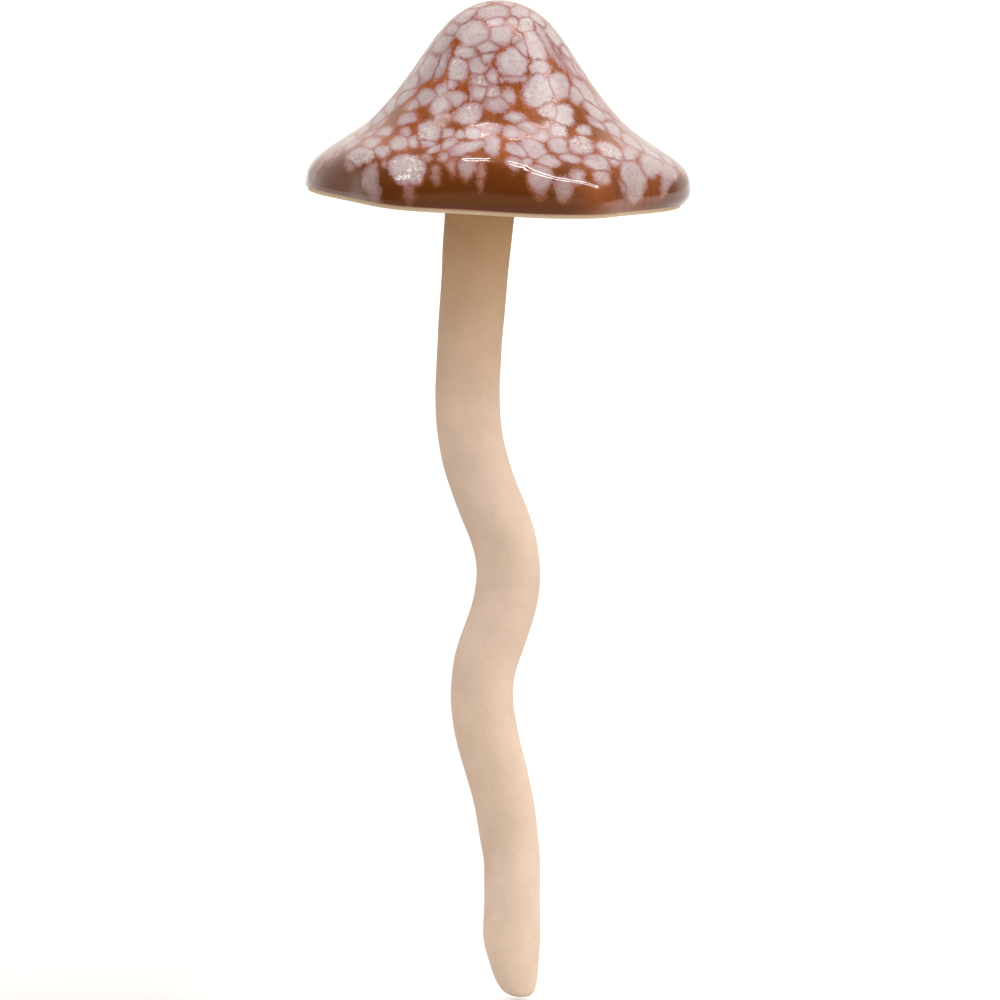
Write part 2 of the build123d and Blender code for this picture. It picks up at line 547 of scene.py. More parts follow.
@dataclass(frozen=True)
class ReactiveGlaze:
    """Glossy brown glaze with white crystal spots, mauve where they thin out, darker towards the rim partly
    where it pooled and partly as painted shade, and with the white dimmed low on the band by painted shade.
    """

    name: str = "brown_crystal_glaze"
    open_brown: Colour = paint(162, 84, 34)
    deep_brown: Colour = paint(114, 56, 18)
    # Partly painted shade: this dark brown towards the rim is pooled glaze and also stands for the shade of
    # the band that faces down.
    pooled_and_shaded_brown: Colour = paint(104, 51, 12)
    haze: Colour = paint(180, 116, 90)
    mauve: Colour = paint(172, 132, 134)
    crystal: Colour = paint(190, 175, 177)
    cream: Colour = paint(200, 190, 186)
    rose: Colour = paint(182, 138, 130)
    vein: Colour = paint(142, 84, 66)
    frost: Colour = paint(224, 217, 208)

    # Grain, white spots and the haze round them
    grain_fineness: float = 1.3
    grain_cover: float = 0.5
    white_edge: Span = (-0.35, 0.55)
    halo_edge: Span = (-1.4, 0.1)
    haze_size: float = 5 * MM
    haze_edge: Span = (0.35, 0.7)
    haze_shares: Span = (0.06, 0.6)
    seam_weight: float = 1.2
    ripe_wander: float = 2.6
    ripe_edge: Span = (0.2, 2.1)
    # Painted shade: the white is dimmed low on the band, which faces down and gets less light.
    shaded_band_ways: Span = (0.78, 0.95)
    shaded_band_shares: Span = (1.0, 0.8)

    # Surface
    ripple_size: float = 3.5 * MM
    ripple_depth: float = 0.012 * MM
    relief_depth: float = 0.05 * MM
    white_rise: float = 0.35
    ripple_rise: float = 0.5
    grain_rise: float = 0.16
    base_roughness: Span = (0.25, 0.5)
    satin: Span = (0.14, 0.3)
    gloss: float = 0.03
    gloss_ways: Span = (0.8, 0.68)

    # Ragged edges with lacy holes
    coarse_size: float = 1.0 * MM
    coarse_reach: float = 2.3
    fine_size: float = 0.35 * MM
    fine_reach: float = 1.3
    frond_size: float = 0.85 * MM
    frond_edge: Span = (0.02, 0.3)
    frond_depths: Span = (2.2, 0.0)
    lace_reach: float = 1.7

    # Veins between spots
    vein_size: float = 0.75 * MM
    vein_wander: float = 3.2
    vein_edge: Span = (0.9, -0.1)
    vein_depths: Span = (-0.3, 0.3)
    healing_size: float = 3.4 * MM
    healing_edge: Span = (0.4, 0.58)
    healing_shares: Span = (0.35, 0.95)

    # Brown
    cloud_size: float = 9 * MM
    cloud_share: float = 0.6
    streak_size: float = 1.3 * MM
    streak_share: float = 0.4
    brown_edge: Span = (0.34, 0.64)
    # Darkening towards the rim: partly pooled glaze, partly painted shade.
    pool_and_shade_wander: float = 0.12
    pool_and_shade_ways: Span = (0.7, 0.86)
    # Painted light: the darkening towards the rim eases off round this place on the front-right lobe, where
    # light from the right falls.
    painted_light_place: tuple[float, float, float] = (36 * MM, -40 * MM, 210 * MM)
    painted_light_reach: Span = (10 * MM, 26 * MM)
    painted_light_shares: Span = (0.25, 1.0)

    # Crystals
    cream_size: float = 2.6 * MM
    cream_edge: Span = (0.38, 0.68)
    fleck_share: float = 0.5
    mottle_size: float = 0.45 * MM
    mottle_edge: Span = (0.47, 0.62)
    mottle_shares: Span = (0.0, 0.5)
    heart_size: float = 2.2 * MM
    heart_edge: Span = (0.4, 0.56)
    needle_size: float = 0.5 * MM
    needle_edge: Span = (0.5, 0.6)
    needle_gaps: Span = (0.47, 0.4)

    def material(self) -> bpy.types.Material:
        """Builds the finish from the spot attributes of the mesh."""
        material, wiring, output = start_material(self.name)
        place = wiring.own_place()
        grain = GrainGroup.place(wiring, place, self.grain_fineness, self.grain_cover)
        depth, seam = wiring.attribute("spot_depth"), wiring.attribute("spot_seam")
        tone, lace = wiring.attribute("spot_tone"), wiring.attribute("spot_lace")
        burst, fall = wiring.attribute("spot_burst"), wiring.attribute("fall")

        edge = self.ragged_edge(wiring, place, depth, lace)
        white = wiring.step(edge, *self.white_edge)
        halo = wiring.step(edge, *self.halo_edge)
        veins = self.veins(wiring, place, seam, edge)

        colour = self.brown(wiring, fall, place)
        hazy = wiring.noise(place, self.haze_size, detail=3)
        hazy_share = wiring.step(hazy, *self.haze_edge, *self.haze_shares)
        colour = wiring.mix(wiring.times(halo, hazy_share), colour, self.haze)
        inner = wiring.smaller(edge, wiring.times(seam, self.seam_weight))
        wander = wiring.times(wiring.less(hazy, 0.5), self.ripe_wander)
        ripe = wiring.step(wiring.sum(inner, wander), *self.ripe_edge)
        rim = wiring.mix(ripe, self.mauve, self.crystals(wiring, place, grain, burst))
        # Painted shade: dims the white low on the band that faces down.
        band_shade = wiring.step(fall, *self.shaded_band_ways, *self.shaded_band_shares)
        cover = wiring.times(wiring.times(white, tone), band_shade)
        colour = wiring.mix(cover, colour, rim)
        colour = wiring.mix(veins, colour, self.vein)

        ripples = wiring.noise(place, self.ripple_size, detail=2)
        height = wiring.sum(wiring.times(white, self.white_rise), wiring.times(ripples, self.ripple_rise))
        grainy = wiring.times(wiring.times(grain.outputs["Height"], white), self.grain_rise)
        height = wiring.sum(height, grainy)
        normal = wiring.bump(height, self.relief_depth)
        rough = wiring.step(white, 0, 1, *self.base_roughness)
        satin = wiring.step(white, 0, 1, *self.satin)
        sheen = wiring.times(satin, wiring.step(fall, *self.gloss_ways))
        surface = wiring.add(
            "BsdfPrincipled",
            {
                "Base Color": colour,
                "Roughness": rough,
                "Normal": normal,
                "Coat Weight": 1.0,
                "Coat Roughness": wiring.larger(sheen, self.gloss),
                "Coat IOR": 1.5,
                "Coat Normal": wiring.bump(ripples, self.ripple_depth),
                "Specular IOR Level": 0.1,
            },
        )
        wiring.feed(output.inputs["Surface"], surface.outputs[0])
        return material

    def ragged_edge(self, wiring: Wiring, place: Any, depth: Any, lace: Any) -> Socket:
        """Depth inside a spot in millimetres, with granular edges and lacy holes.

        Args:
            wiring: The material's wiring.
            place: Place on the piece.
            depth: Smooth depth inside the nearest spot.
            lace: How lacy that spot is.

        Returns:
            The broken-up depth.
        """
        coarse = wiring.less(wiring.noise(place, self.coarse_size, detail=4, roughness=0.65), 0.5)
        fine = wiring.less(wiring.noise(place, self.fine_size, detail=2, roughness=0.6), 0.5)
        ragged = wiring.sum(wiring.times(coarse, self.coarse_reach), wiring.times(fine, self.fine_reach))
        edge = wiring.sum(depth, ragged)
        fronds = wiring.cells(place, self.frond_size)
        gaps = wiring.step(fronds, *self.frond_edge)
        gaps = wiring.times(gaps, wiring.step(depth, *self.frond_depths))
        return wiring.less(edge, wiring.times(wiring.times(gaps, lace), self.lace_reach))

    def veins(self, wiring: Wiring, place: Any, seam: Any, edge: Any) -> Socket:
        """Thin lines of glaze that part spots which grew together."""
        wander = wiring.less(wiring.noise(place, self.vein_size, detail=4, roughness=0.7), 0.5)
        line = wiring.step(wiring.sum(seam, wiring.times(wander, self.vein_wander)), *self.vein_edge)
        healing = wiring.noise(place, self.healing_size, detail=2)
        healed = wiring.step(healing, *self.healing_edge, *self.healing_shares)
        return wiring.times(wiring.times(line, wiring.step(edge, *self.vein_depths)), healed)

    def brown(self, wiring: Wiring, fall: Any, place: Any) -> Socket:
        """The glaze between the spots: lighter where it ran thin, and darker towards the rim, partly where it
        pooled and partly as painted shade, with that darkening eased off near the front-right lobe as painted
        light.
        """
        cloud = wiring.noise(place, self.cloud_size, detail=4, roughness=0.6)
        slope = wiring.attribute("slope_place", vector=True)
        streaks = wiring.noise(slope, self.streak_size, detail=3, roughness=0.6)
        thin = wiring.sum(wiring.times(cloud, self.cloud_share), wiring.times(streaks, self.streak_share))
        colour = wiring.mix(wiring.step(thin, *self.brown_edge), self.deep_brown, self.open_brown)
        wander = wiring.times(wiring.less(thin, 0.5), self.pool_and_shade_wander)
        # Darker towards the rim: partly pooled glaze, partly painted shade of the band that faces down.
        pool_and_shade = wiring.step(wiring.sum(fall, wander), *self.pool_and_shade_ways)
        # Painted light: less darkening near the front-right lobe.
        away = wiring.add("VectorMath", {0: place, 1: self.painted_light_place}, operation="DISTANCE").outputs["Value"]
        pool_and_shade = wiring.times(pool_and_shade, wiring.step(away, *self.painted_light_reach, *self.painted_light_shares))
        return wiring.mix(pool_and_shade, colour, self.pooled_and_shaded_brown)

    def crystals(self, wiring: Wiring, place: Any, grain: bpy.types.Node, burst: Any) -> Socket:
        """Inside of the spots: pale crystal with creamy patches, rosy flecks, and needles where it burst."""
        patches = wiring.noise(place, self.cream_size, detail=3, roughness=0.6)
        colour = wiring.mix(wiring.step(patches, *self.cream_edge), self.crystal, self.cream)
        flecks = wiring.times(grain.outputs["Flecks"], self.fleck_share)
        colour = wiring.mix(flecks, colour, self.rose)
        mottle = wiring.noise(place, self.mottle_size, detail=3, roughness=0.7)
        colour = wiring.mix(wiring.step(mottle, *self.mottle_edge, *self.mottle_shares), colour, self.mauve)
        hearts = wiring.noise(place, self.heart_size, detail=2)
        heart = wiring.times(burst, wiring.step(hearts, *self.heart_edge))
        needles = wiring.noise(place, self.needle_size, detail=3, roughness=0.7)
        colour = wiring.mix(wiring.times(heart, wiring.step(needles, *self.needle_edge)), colour, self.frost)
        return wiring.mix(wiring.times(heart, wiring.step(needles, *self.needle_gaps)), colour, self.rose)


# Shapes shared by the pieces


@dataclass(frozen=True)
class StemShape:
    """Sizes of the hand-rolled stem, in metres and radians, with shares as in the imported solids."""

    rise: float = 225.4 * MM
    sway: float = 13.3 * MM
    radius: float = 10.6 * MM
    foot_radius: float = 8.45 * MM
    foot_depth: float = 22.0 * MM
    foot_above_soil: float = 2.0 * MM
    tip_length: float = 16.0 * MM
    tip_lean: float = 3.2 * MM
    seat_lean: float = radians(6.0)
    seat_radius: float = 10.3 * MM
    seat_length: float = 25.0 * MM
    seat_rounding: float = 1.2 * MM
    seat_clearance: float = 0.4 * MM
    shoulder_sway_share: float = -0.530
    bend_shares: Points = (
        (0.050, -0.075, 0.830),
        (0.096, -0.190, 0.854),
        (0.143, -0.390, 0.877),
        (0.190, -0.586, 0.887),
        (0.237, -0.684, 0.892),
        (0.281, -0.600, 0.900),
        (0.326, -0.346, 0.910),
        (0.371, -0.128, 0.910),
        (0.411, -0.083, 0.906),
        (0.451, -0.210, 0.915),
        (0.498, -0.511, 0.929),
        (0.541, -0.767, 0.925),
        (0.585, -0.940, 0.920),
        (0.638, -1.000, 0.920),
        (0.705, -0.962, 0.925),
        (0.779, -0.872, 0.948),
        (0.859, -0.760, 0.981),
        (0.935, -0.645, 1.000),
    )
    tip_shares: Points = (
        (0.38, 0.20, 0.870),
        (0.66, 0.39, 0.763),
        (0.85, 0.58, 0.615),
        (0.96, 0.78, 0.410),
        (1.00, 0.92, 0.200),
    )

    @property
    def seat_direction(self) -> Vector:
        """Axis of the straight top, upwards."""
        return Vector((sin(self.seat_lean), 0, cos(self.seat_lean)))

    @property
    def shoulder(self) -> Vector:
        """Where the straight top begins."""
        return Vector((self.shoulder_sway_share * self.sway, 0, self.rise))

    @property
    def seat(self) -> Vector:
        """Middle of the flat end that carries the cap."""
        return self.shoulder + self.seat_direction * self.seat_length


@dataclass(frozen=True)
class BellShape:
    """Sizes of the cap's bell, in metres and radians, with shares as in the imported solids."""

    stem: StemShape
    height: float = 59.6 * MM
    reach: float = 57.8 * MM
    tilt: float = radians(1.0)
    rim_tilt: float = radians(2.6)
    crown_shift: float = 0.5 * MM
    clay_wall: float = 5.2 * MM
    glaze_coat: float = 0.8 * MM
    bare_rim: float = 1.35 * MM
    end_search: tuple[float, float, int] = (0.6, 1.06, 240)
    bell_shares: Points = (
        (0.000, 0.000, 0.000),
        (0.0013, 0.030, 0.030),
        (0.0085, 0.078, 0.078),
        (0.031, 0.143, 0.143),
        (0.077, 0.222, 0.222),
        (0.153, 0.300, 0.300),
        (0.247, 0.371, 0.371),
        (0.349, 0.441, 0.441),
        (0.459, 0.522, 0.520),
        (0.561, 0.608, 0.610),
        (0.655, 0.706, 0.730),
        (0.731, 0.822, 0.846),
        (0.799, 0.930, 0.890),
        (0.859, 0.984, 0.912),
        (0.918, 1.000, 0.921),
        (0.969, 0.996, 0.920),
        (1.000, 0.974, 0.908),
    )
    rim_waves: Points = (
        (-90, 0.88),
        (-57, 0.05),
        (-32, 0.85),
        (-8, 0.00),
        (28, 1.10),
        (51, 0.12),
        (88, 1.12),
        (122, 0.10),
        (152, 0.85),
        (184, 0.00),
        (213, 1.05),
        (241, 0.08),
        (270, 0.88),
    )

    @property
    def axis(self) -> Vector:
        """Axis of the bell, upwards."""
        return Vector((sin(self.tilt), 0, cos(self.tilt)))

    @cached_property
    def crown(self) -> Vector:
        """Top of the glazed crown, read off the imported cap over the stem's seat."""
        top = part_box("cap_glaze")[1].z - self.bell_shares[1][1] * self.reach * sin(self.tilt)
        over_seat = (top - self.stem.seat.z) / cos(self.tilt)
        return self.stem.seat + self.axis * over_seat + Vector((self.crown_shift, 0, 0))

    @property
    def rim_direction(self) -> Vector:
        """Square to the plane that the rim stands on, upwards."""
        return Vector((sin(self.rim_tilt), 0, cos(self.rim_tilt)))

    @cached_property
    def curves(self) -> tuple[Curve, Curve, Curve]:
        """Smooth shares of depth, lobe radius and valley radius, each by the way along the profile."""
        table = np.array(self.bell_shares)
        depths = table[:, 0] * self.height
        radii = table[:, 1:].mean(1) * self.reach
        along = np.concatenate(([0], np.cumsum(np.hypot(np.diff(depths), np.diff(radii)))))
        along /= along[-1]
        return tuple(smooth_curve(along, table[:, column]) for column in range(3))

    def swell(self, turn: np.ndarray) -> np.ndarray:
        """How far the rim swells at a turn: 0 in a valley, 1 on a full lobe."""
        waves = np.array(self.rim_waves)
        start = waves[0, 0]
        at = start + (np.degrees(turn) - start) % 360
        i = np.clip(np.searchsorted(waves[:, 0], at, side="right") - 1, 0, len(waves) - 2)
        share = (at - waves[i, 0]) / (waves[i + 1, 0] - waves[i, 0])
        return waves[i, 1] + (waves[i + 1, 1] - waves[i, 1]) * (1 - np.cos(pi * share)) / 2

    def wall(self, inset: np.ndarray | float, along: np.ndarray, turn: np.ndarray) -> np.ndarray:
        """Points of the bell that lies a thickness inside the glaze.

        Args:
            inset: Thickness between the glazed surface and the points, for each or for all.
            along: Way along the profile, from 0 at the crown to 1 at the rim.
            turn: Turn from the front towards +X, in radians.

        Returns:
            One point for each entry of the arrays.
        """
        depth_curve, lobe_curve, valley_curve = self.curves
        depth = inset + depth_curve(along) * (self.height - inset)
        lobe, valley = lobe_curve(along), valley_curve(along)
        radius = (self.reach - inset) * (valley + (lobe - valley) * self.swell(turn))
        across = np.array((cos(self.tilt), 0, -sin(self.tilt)))
        front = np.array((0, -1, 0))
        places = np.array(self.crown) - depth[..., None] * np.array(self.axis)
        places = places + (radius * np.sin(turn))[..., None] * across
        return places + (radius * np.cos(turn))[..., None] * front

    def over_rim(self, places: np.ndarray) -> np.ndarray:
        """Height of points over the plane of the rim."""
        base = self.crown - self.axis * self.height
        return (places - np.array(base)) @ np.array(self.rim_direction)

    def end_along(self, inset: float, above: float, turn: np.ndarray) -> np.ndarray:
        """How far along the profile the bell comes down to a height over the rim's plane.

        Args:
            inset: Thickness between the glazed surface and the bell.
            above: Height over the rim's plane.
            turn: Turns at which it is wanted.

        Returns:
            One way along the profile for each turn.
        """
        samples = np.linspace(*self.end_search)
        grid_along, grid_turn = np.meshgrid(samples, turn, indexing="ij")
        heights = self.over_rim(self.wall(inset, grid_along, grid_turn))
        below = heights < above
        first = np.where(below.any(0), below.argmax(0), len(samples) - 1)
        column = np.arange(len(turn))
        high, low = heights[first - 1, column], heights[first, column]
        share = (high - above) / (high - low)
        return samples[first - 1] + share * (samples[first] - samples[first - 1])


# The spots of the glaze


@dataclass(frozen=True)
class Spot:
    """A white spot of the photograph: its middle and size in pixels, and its wide side's lean in degrees."""

    across: float
    down: float
    wide: float
    high: float
    lean: float = 0.0
    kind: Crystal = PLAIN
    tone: float = 0.9


@dataclass(frozen=True)
class Mark:
    """A spot laid on the cap: its middle, its wide and its high half axis, and the way out of the surface."""

    middle: np.ndarray
    wide_axis: np.ndarray
    high_axis: np.ndarray
    outward: np.ndarray
    kind: Crystal
    tone: float

    @property
    def breadth(self) -> float:
        """The shorter half axis."""
        return min(np.linalg.norm(self.wide_axis), np.linalg.norm(self.high_axis))

    @property
    def length(self) -> float:
        """The longer half axis."""
        return max(np.linalg.norm(self.wide_axis), np.linalg.norm(self.high_axis))


# The spots that the photograph shows. Each row has Spot's fields in order: across, down, wide and high in
# pixels, lean in degrees, kind and tone.
CROWN_SPOTS = (
    (491, 11, 33, 12, -6), (519, 10, 21, 12, 12), (494, 20, 14, 9, 0, LACY), (511, 19, 9, 7),
    (528, 23, 20, 15, 20, BURST), (472, 31, 31, 25), (500, 33, 21, 19), (515, 38, 7, 8),
    (536, 45, 17, 29, -25), (522, 49, 12, 13), (540, 67, 17, 15), (486, 46, 15, 12),
    (466, 52, 21, 14, 0, LACY), (487, 56, 9, 11), (512, 61, 28, 29, 0, LACY, 1.0),
    (513, 77, 25, 6, 0, LACY, 0.8), (477, 65, 15, 16), (457, 69, 19, 20, 0, BURST),
    (480, 80, 20, 16, 0, BURST), (490, 76, 15, 14), (476, 92, 16, 15, 0, BURST),
    (491, 92, 14, 14, 0, BURST), (507, 96, 13, 14), (495, 103, 24, 16, 0, FAINT, 0.75),
    (538, 91, 30, 35, -12, LACY, 1.0), (548, 110, 27, 17, 24, BURST, 0.8),
    (564, 115, 20, 23, -10, LACY, 1.0), (559, 85, 18, 26, -28), (577, 94, 12, 18, -22),
    (548, 40, 58, 9, 57), (557, 50, 60, 8, 55), (566, 61, 58, 7, 54), (586, 92, 46, 10, 52),
    (553, 34, 40, 10, 55), (540, 20, 28, 9, 42), (463, 16, 34, 9, -36), (450, 29, 30, 10, -50),
    (440, 45, 46, 13, -60), (427, 66, 50, 15, -54), (412, 82, 46, 11, -48), (441, 62, 30, 8, -66),
)

LEFT_SPOTS = (
    (402, 96, 40, 10, -44), (390, 106, 36, 9, -42), (378, 117, 34, 9, -40), (364, 128, 34, 9, -40),
    (350, 138, 26, 8, -38), (414, 103, 20, 8, -40), (451, 83, 8, 8), (440, 90, 12, 10, -20),
    (424, 97, 22, 13, -32), (439, 105, 21, 15, -30), (455, 98, 15, 12, -25), (468, 113, 27, 20, -10, BURST),
    (438, 117, 6, 5), (406, 118, 19, 10, -20), (383, 131, 18, 8, -22), (404, 132, 11, 8, -20),
    (428, 131, 21, 21, 0, BURST), (427, 141, 14, 8), (447, 133, 12, 8), (460, 134, 11, 8),
    (473, 132, 14, 12), (491, 127, 17, 7, 6), (351, 143, 20, 9, -30, FAINT, 0.7), (370, 142, 17, 10, -20),
    (398, 143, 19, 14, -12), (413, 141, 12, 11), (434, 148, 15, 7, -22), (449, 143, 18, 9, -22),
    (466, 147, 38, 11, -16), (492, 145, 16, 20, -12), (380, 151, 17, 11, -10),
    (360, 155, 27, 17, -14, BURST), (350, 165, 9, 13, 0, DRIP, 0.5), (329, 155, 12, 7, -36, FAINT, 0.6),
    (426, 157, 9, 8, 0, FAINT, 0.6), (443, 156, 10, 8, -15), (406, 167, 38, 28, 4, BURST, 0.95),
    (371, 182, 14, 34, -8, DRIP, 0.66), (385, 163, 5, 6, 0, FAINT, 0.7), (410, 191, 6, 16, 0, DRIP, 0.45),
    (436, 174, 6, 12, 0, DRIP, 0.45), (453, 165, 7, 14, 0, DRIP, 0.5), (466, 167, 15, 22, 0, DRIP, 0.62),
    (480, 172, 5, 22, 0, DRIP, 0.45),
)

RIGHT_SPOTS = (
    (599, 114, 44, 10, 42), (613, 128, 40, 10, 38), (600, 124, 26, 8, 30), (630, 140, 40, 9, 36),
    (650, 152, 34, 8, 34), (667, 163, 26, 8, 36), (514, 117, 19, 9, 12), (528, 126, 23, 9, 24),
    (512, 132, 20, 10, 10), (542, 136, 16, 11, 18), (558, 131, 20, 15, 20, LACY), (584, 130, 15, 11, 10),
    (581, 145, 24, 17, 12, BURST), (559, 146, 21, 15, 22), (534, 149, 29, 16, 34), (517, 149, 22, 12, 22),
    (513, 162, 13, 15, 0, DRIP, 0.8), (526, 161, 12, 10), (548, 160, 24, 12, 20), (570, 157, 23, 8, 14),
    (541, 177, 22, 28, 0, DRIP, 0.68), (564, 188, 15, 23, 0, DRIP, 0.62),
    (577, 176, 16, 15, 0, BURST, 0.75), (597, 163, 27, 15, 24), (602, 177, 15, 17, -10, DRIP, 0.75),
    (610, 150, 31, 15, 28, BURST), (613, 160, 15, 9, 20), (629, 152, 19, 14, 30),
    (634, 182, 24, 44, -6, DRIP, 0.92), (624, 186, 7, 13, 0, DRIP, 0.6),
    (653, 164, 24, 24, -14, DRIP, 0.85), (669, 170, 15, 36, -8, DRIP, 0.8),
    (682, 167, 12, 18, -10, DRIP, 0.7),
)


@dataclass(frozen=True)
class Zone:
    """A zone of the unseen spots, from the zone above it down to a way along the profile.

    Sizes, in millimetres, and stretches are a least value and what the draw adds to it. A kind is taken when
    the draw is below its limit.
    """

    down_to: float
    sizes: Span
    size_power: float
    stretches: Span
    whiter: float
    kinds: tuple[tuple[float, Crystal], ...]


@dataclass(frozen=True)
class DripForm:
    """How a drip differs from an oval: its waist, how it fills out downwards, and how far it hangs."""

    waist: float = 1.04
    filling: float = 0.2
    filling_from: float = 0.15
    filling_to: float = 1.1
    filling_power: float = 1.6
    hang: float = 0.12


@dataclass
class SpotField:
    """Lays the spots on the cap and measures, at any point, how deep inside the nearest one it lies."""

    bell: BellShape
    view: PhotoView
    surface: BVHTree
    seed: int = 41
    tries: int = 7000
    reach: Span = (0.05, 0.93)
    probe: float = 0.004
    spacing_ways: tuple[float, float, float] = (0.45, 0.6, 0.8)
    spacings: tuple[float, float, float] = (0.76, 1.0, 1.14)
    flattest: float = 0.3
    unseen_facing: float = 0.36
    unbroken_to: float = 0.4
    patch_drift: Span = (15 * MM, 12.4)
    bare_patch: float = -0.24
    tones: Span = (0.7, 0.25)
    zones: tuple[Zone, ...] = (
        Zone(0.45, (1.6, 3.4), 1.0, (1.1, 0.4), 0.04, ((0.3, LACY), (0.5, BURST), (1, PLAIN))),
        Zone(0.78, (1.3, 2.2), 1.3, (1.0, 0.8), 0.0, ((0.22, BURST), (0.34, LACY), (1, PLAIN))),
        Zone(1.0, (1.0, 2.3), 1.5, (1.3, 1.3), -0.05, ((0.75, DRIP), (1, BURST))),
    )
    warps: Points = ((9 * MM, 0.8 * MM, 8.1), (3.2 * MM, 0.6 * MM, 3.7), (1.7 * MM, 0.4 * MM, 6.2))
    margin: float = 4 * MM
    dome: float = 4.0
    far_out: float = -9.0
    open_tone: float = 0.8
    plain_lace: float = 0.25
    drip: DripForm = DripForm()
    crown_spread: float = 0.98
    rim_spread: float = 0.5
    spread_ways: Span = (0.3, 0.7)
    marks: list[Mark] = field(default_factory=list)

    def lay_seen(self, spots: Sequence[Spot]) -> None:
        """Casts the photograph's spots onto the cap along its sight lines."""
        for spot in spots:
            sight = self.view.ray(spot.across, spot.down)
            middle, outward, _, _ = self.surface.ray_cast(self.view.place, sight)
            if middle is None:
                log.warning("spot at %s, %s misses the cap", spot.across, spot.down)
                continue
            facing = min(outward.dot(sight), -self.flattest)
            right = Vector((1, 0, 0))
            down = -self.view.up
            lean = radians(spot.lean)
            axes = []
            for size, direction in (
                (spot.wide, right * cos(lean) + down * sin(lean)),
                (spot.high, down * cos(lean) - right * sin(lean)),
            ):
                reach = direction * size * self.view.pixel / 2
                axes.append(np.array(reach - sight * (reach.dot(outward) / facing)))
            self.marks.append(Mark(np.array(middle), *axes, np.array(outward), spot.kind, spot.tone))

    def lay_unseen(self) -> None:
        """Scatters spots of the same kinds over the sides and back, denser towards the crown."""
        draw = np.random.default_rng(self.seed)
        along, turn = draw.uniform(*self.reach, self.tries), draw.uniform(-pi, pi, self.tries)
        shares = draw.random((self.tries, 4))
        here = self.bell.wall(0, along, turn)
        downhill = unit(self.bell.wall(0, along + self.probe, turn) - here)
        level = unit(self.bell.wall(0, along, turn + self.probe) - here)
        outward = unit(np.cross(downhill, level))
        away = (outward * unit(here - np.array(self.view.place))).sum(1) > -self.unseen_facing
        even = shares[:, 3] < np.hypot(here[:, 0], here[:, 1]) / self.bell.reach
        patches = drift(here, *self.patch_drift)[:, 0]
        even &= (along < self.unbroken_to) | (patches > self.bare_patch)
        middles = np.array([mark.middle for mark in self.marks])
        breadths = np.array([mark.breadth for mark in self.marks])
        for i in np.nonzero(away & even)[0]:
            size, stretch, kind, tone = self.draw_kind(along[i], *shares[i, :3])
            spare = float(np.interp(along[i], self.spacing_ways, self.spacings))
            if (np.linalg.norm(middles - here[i], axis=1) < spare * (size + breadths)).any():
                continue
            middles = np.vstack((middles, here[i]))
            breadths = np.append(breadths, size)
            axes = level[i] * size, downhill[i] * size * stretch
            self.marks.append(Mark(here[i], *axes, outward[i], kind, tone))

    def draw_kind(
        self, along: float, share: float, kind_draw: float, tone_draw: float
    ) -> tuple[float, float, Crystal, float]:
        """Size and kind of an unseen spot.

        Args:
            along: Way along the profile from the crown.
            share: Draw for its size.
            kind_draw: Draw for its kind.
            tone_draw: Draw for how white it is.

        Returns:
            Its half breadth, its stretch downhill, its kind and its tone.
        """
        zone = next(zone for zone in self.zones if along < zone.down_to)
        kind = next(kind for limit, kind in zone.kinds if kind_draw < limit)
        size = (zone.sizes[0] + zone.sizes[1] * share**zone.size_power) * MM
        length_draw = tone_draw if zone is self.zones[-1] else kind_draw
        stretch = zone.stretches[0] + zone.stretches[1] * length_draw
        return size, stretch, kind, self.tones[0] + self.tones[1] * tone_draw + zone.whiter

    def measure(self, places: np.ndarray, fall: np.ndarray) -> dict[str, np.ndarray]:
        """Measures the spots at many points.

        Args:
            places: Points on the cap.
            fall: How far each lies down the profile, from 0 at the crown to 1 at the rim.

        Returns:
            Depth inside the nearest spot and lead over the next one, in millimetres, and that spot's tone,
            laciness and burst.
        """
        count = len(places)
        best = np.full(count, self.far_out)
        second = np.full(count, self.far_out)
        tone, lace, burst = np.full(count, self.open_tone), np.zeros(count), np.zeros(count)
        broad, small, fine = (reach * drift(places, wave, seed) for wave, reach, seed in self.warps)
        warped = places + broad + (small + fine)
        for mark in self.marks:
            near = np.nonzero(((warped - mark.middle) ** 2).sum(1) < (mark.length + self.margin) ** 2)[0]
            lift_axis = mark.outward * self.dome * mark.breadth
            basis = np.stack((mark.wide_axis, mark.high_axis, lift_axis), axis=1)
            local = np.linalg.solve(basis, (warped[near] - mark.middle).T).T
            wide, high, lift = local[:, 0], local[:, 1], local[:, 2]
            if mark.kind is DRIP:
                low = np.clip(high + self.drip.filling_from, 0, self.drip.filling_to)
                wide = wide / (self.drip.waist - self.drip.filling * low**self.drip.filling_power)
                high = high + self.drip.hang
            reach = np.sqrt(wide**2 + high**2 + lift**2)
            depth = (1 - reach) * mark.breadth / MM
            leads = depth > best[near]
            second[near] = np.where(leads, best[near], np.maximum(second[near], depth))
            best[near] = np.where(leads, depth, best[near])
            chosen = near[leads]
            tone[chosen] = mark.tone
            lace[chosen] = 1.0 if mark.kind is LACY else self.plain_lace
            burst[chosen] = 1.0 if mark.kind is BURST else 0.0
        lower = ease(fall, *self.spread_ways)
        spread = self.crown_spread - (self.crown_spread - self.rim_spread) * lower
        return {
            "spot_depth": best + spread,
            "spot_seam": best - second,
            "spot_tone": tone,
            "spot_lace": lace,
            "spot_burst": burst,
        }


# The cap


@dataclass
class Shell:
    """A shell of the cap as it was spun: an outside, a lower edge and an inside.

    For each vertex it holds the turn, the share of the way along its own stretch, and which stretch that is.
    """

    piece: bpy.types.Object
    turn: np.ndarray
    share: np.ndarray
    is_outer: np.ndarray
    is_inner: np.ndarray

    @property
    def is_edge(self) -> np.ndarray:
        """The vertices of the lower edge."""
        return ~(self.is_outer | self.is_inner)

    def ways(self, outer_ends: Curve, inner_ends: Curve) -> np.ndarray:
        """Way of each vertex along the bell's profile when its stretches end there, and 0 on the edge."""
        inner = np.where(self.is_inner, self.share * inner_ends(self.turn), 0.0)
        return np.where(self.is_outer, self.share * outer_ends(self.turn), inner)


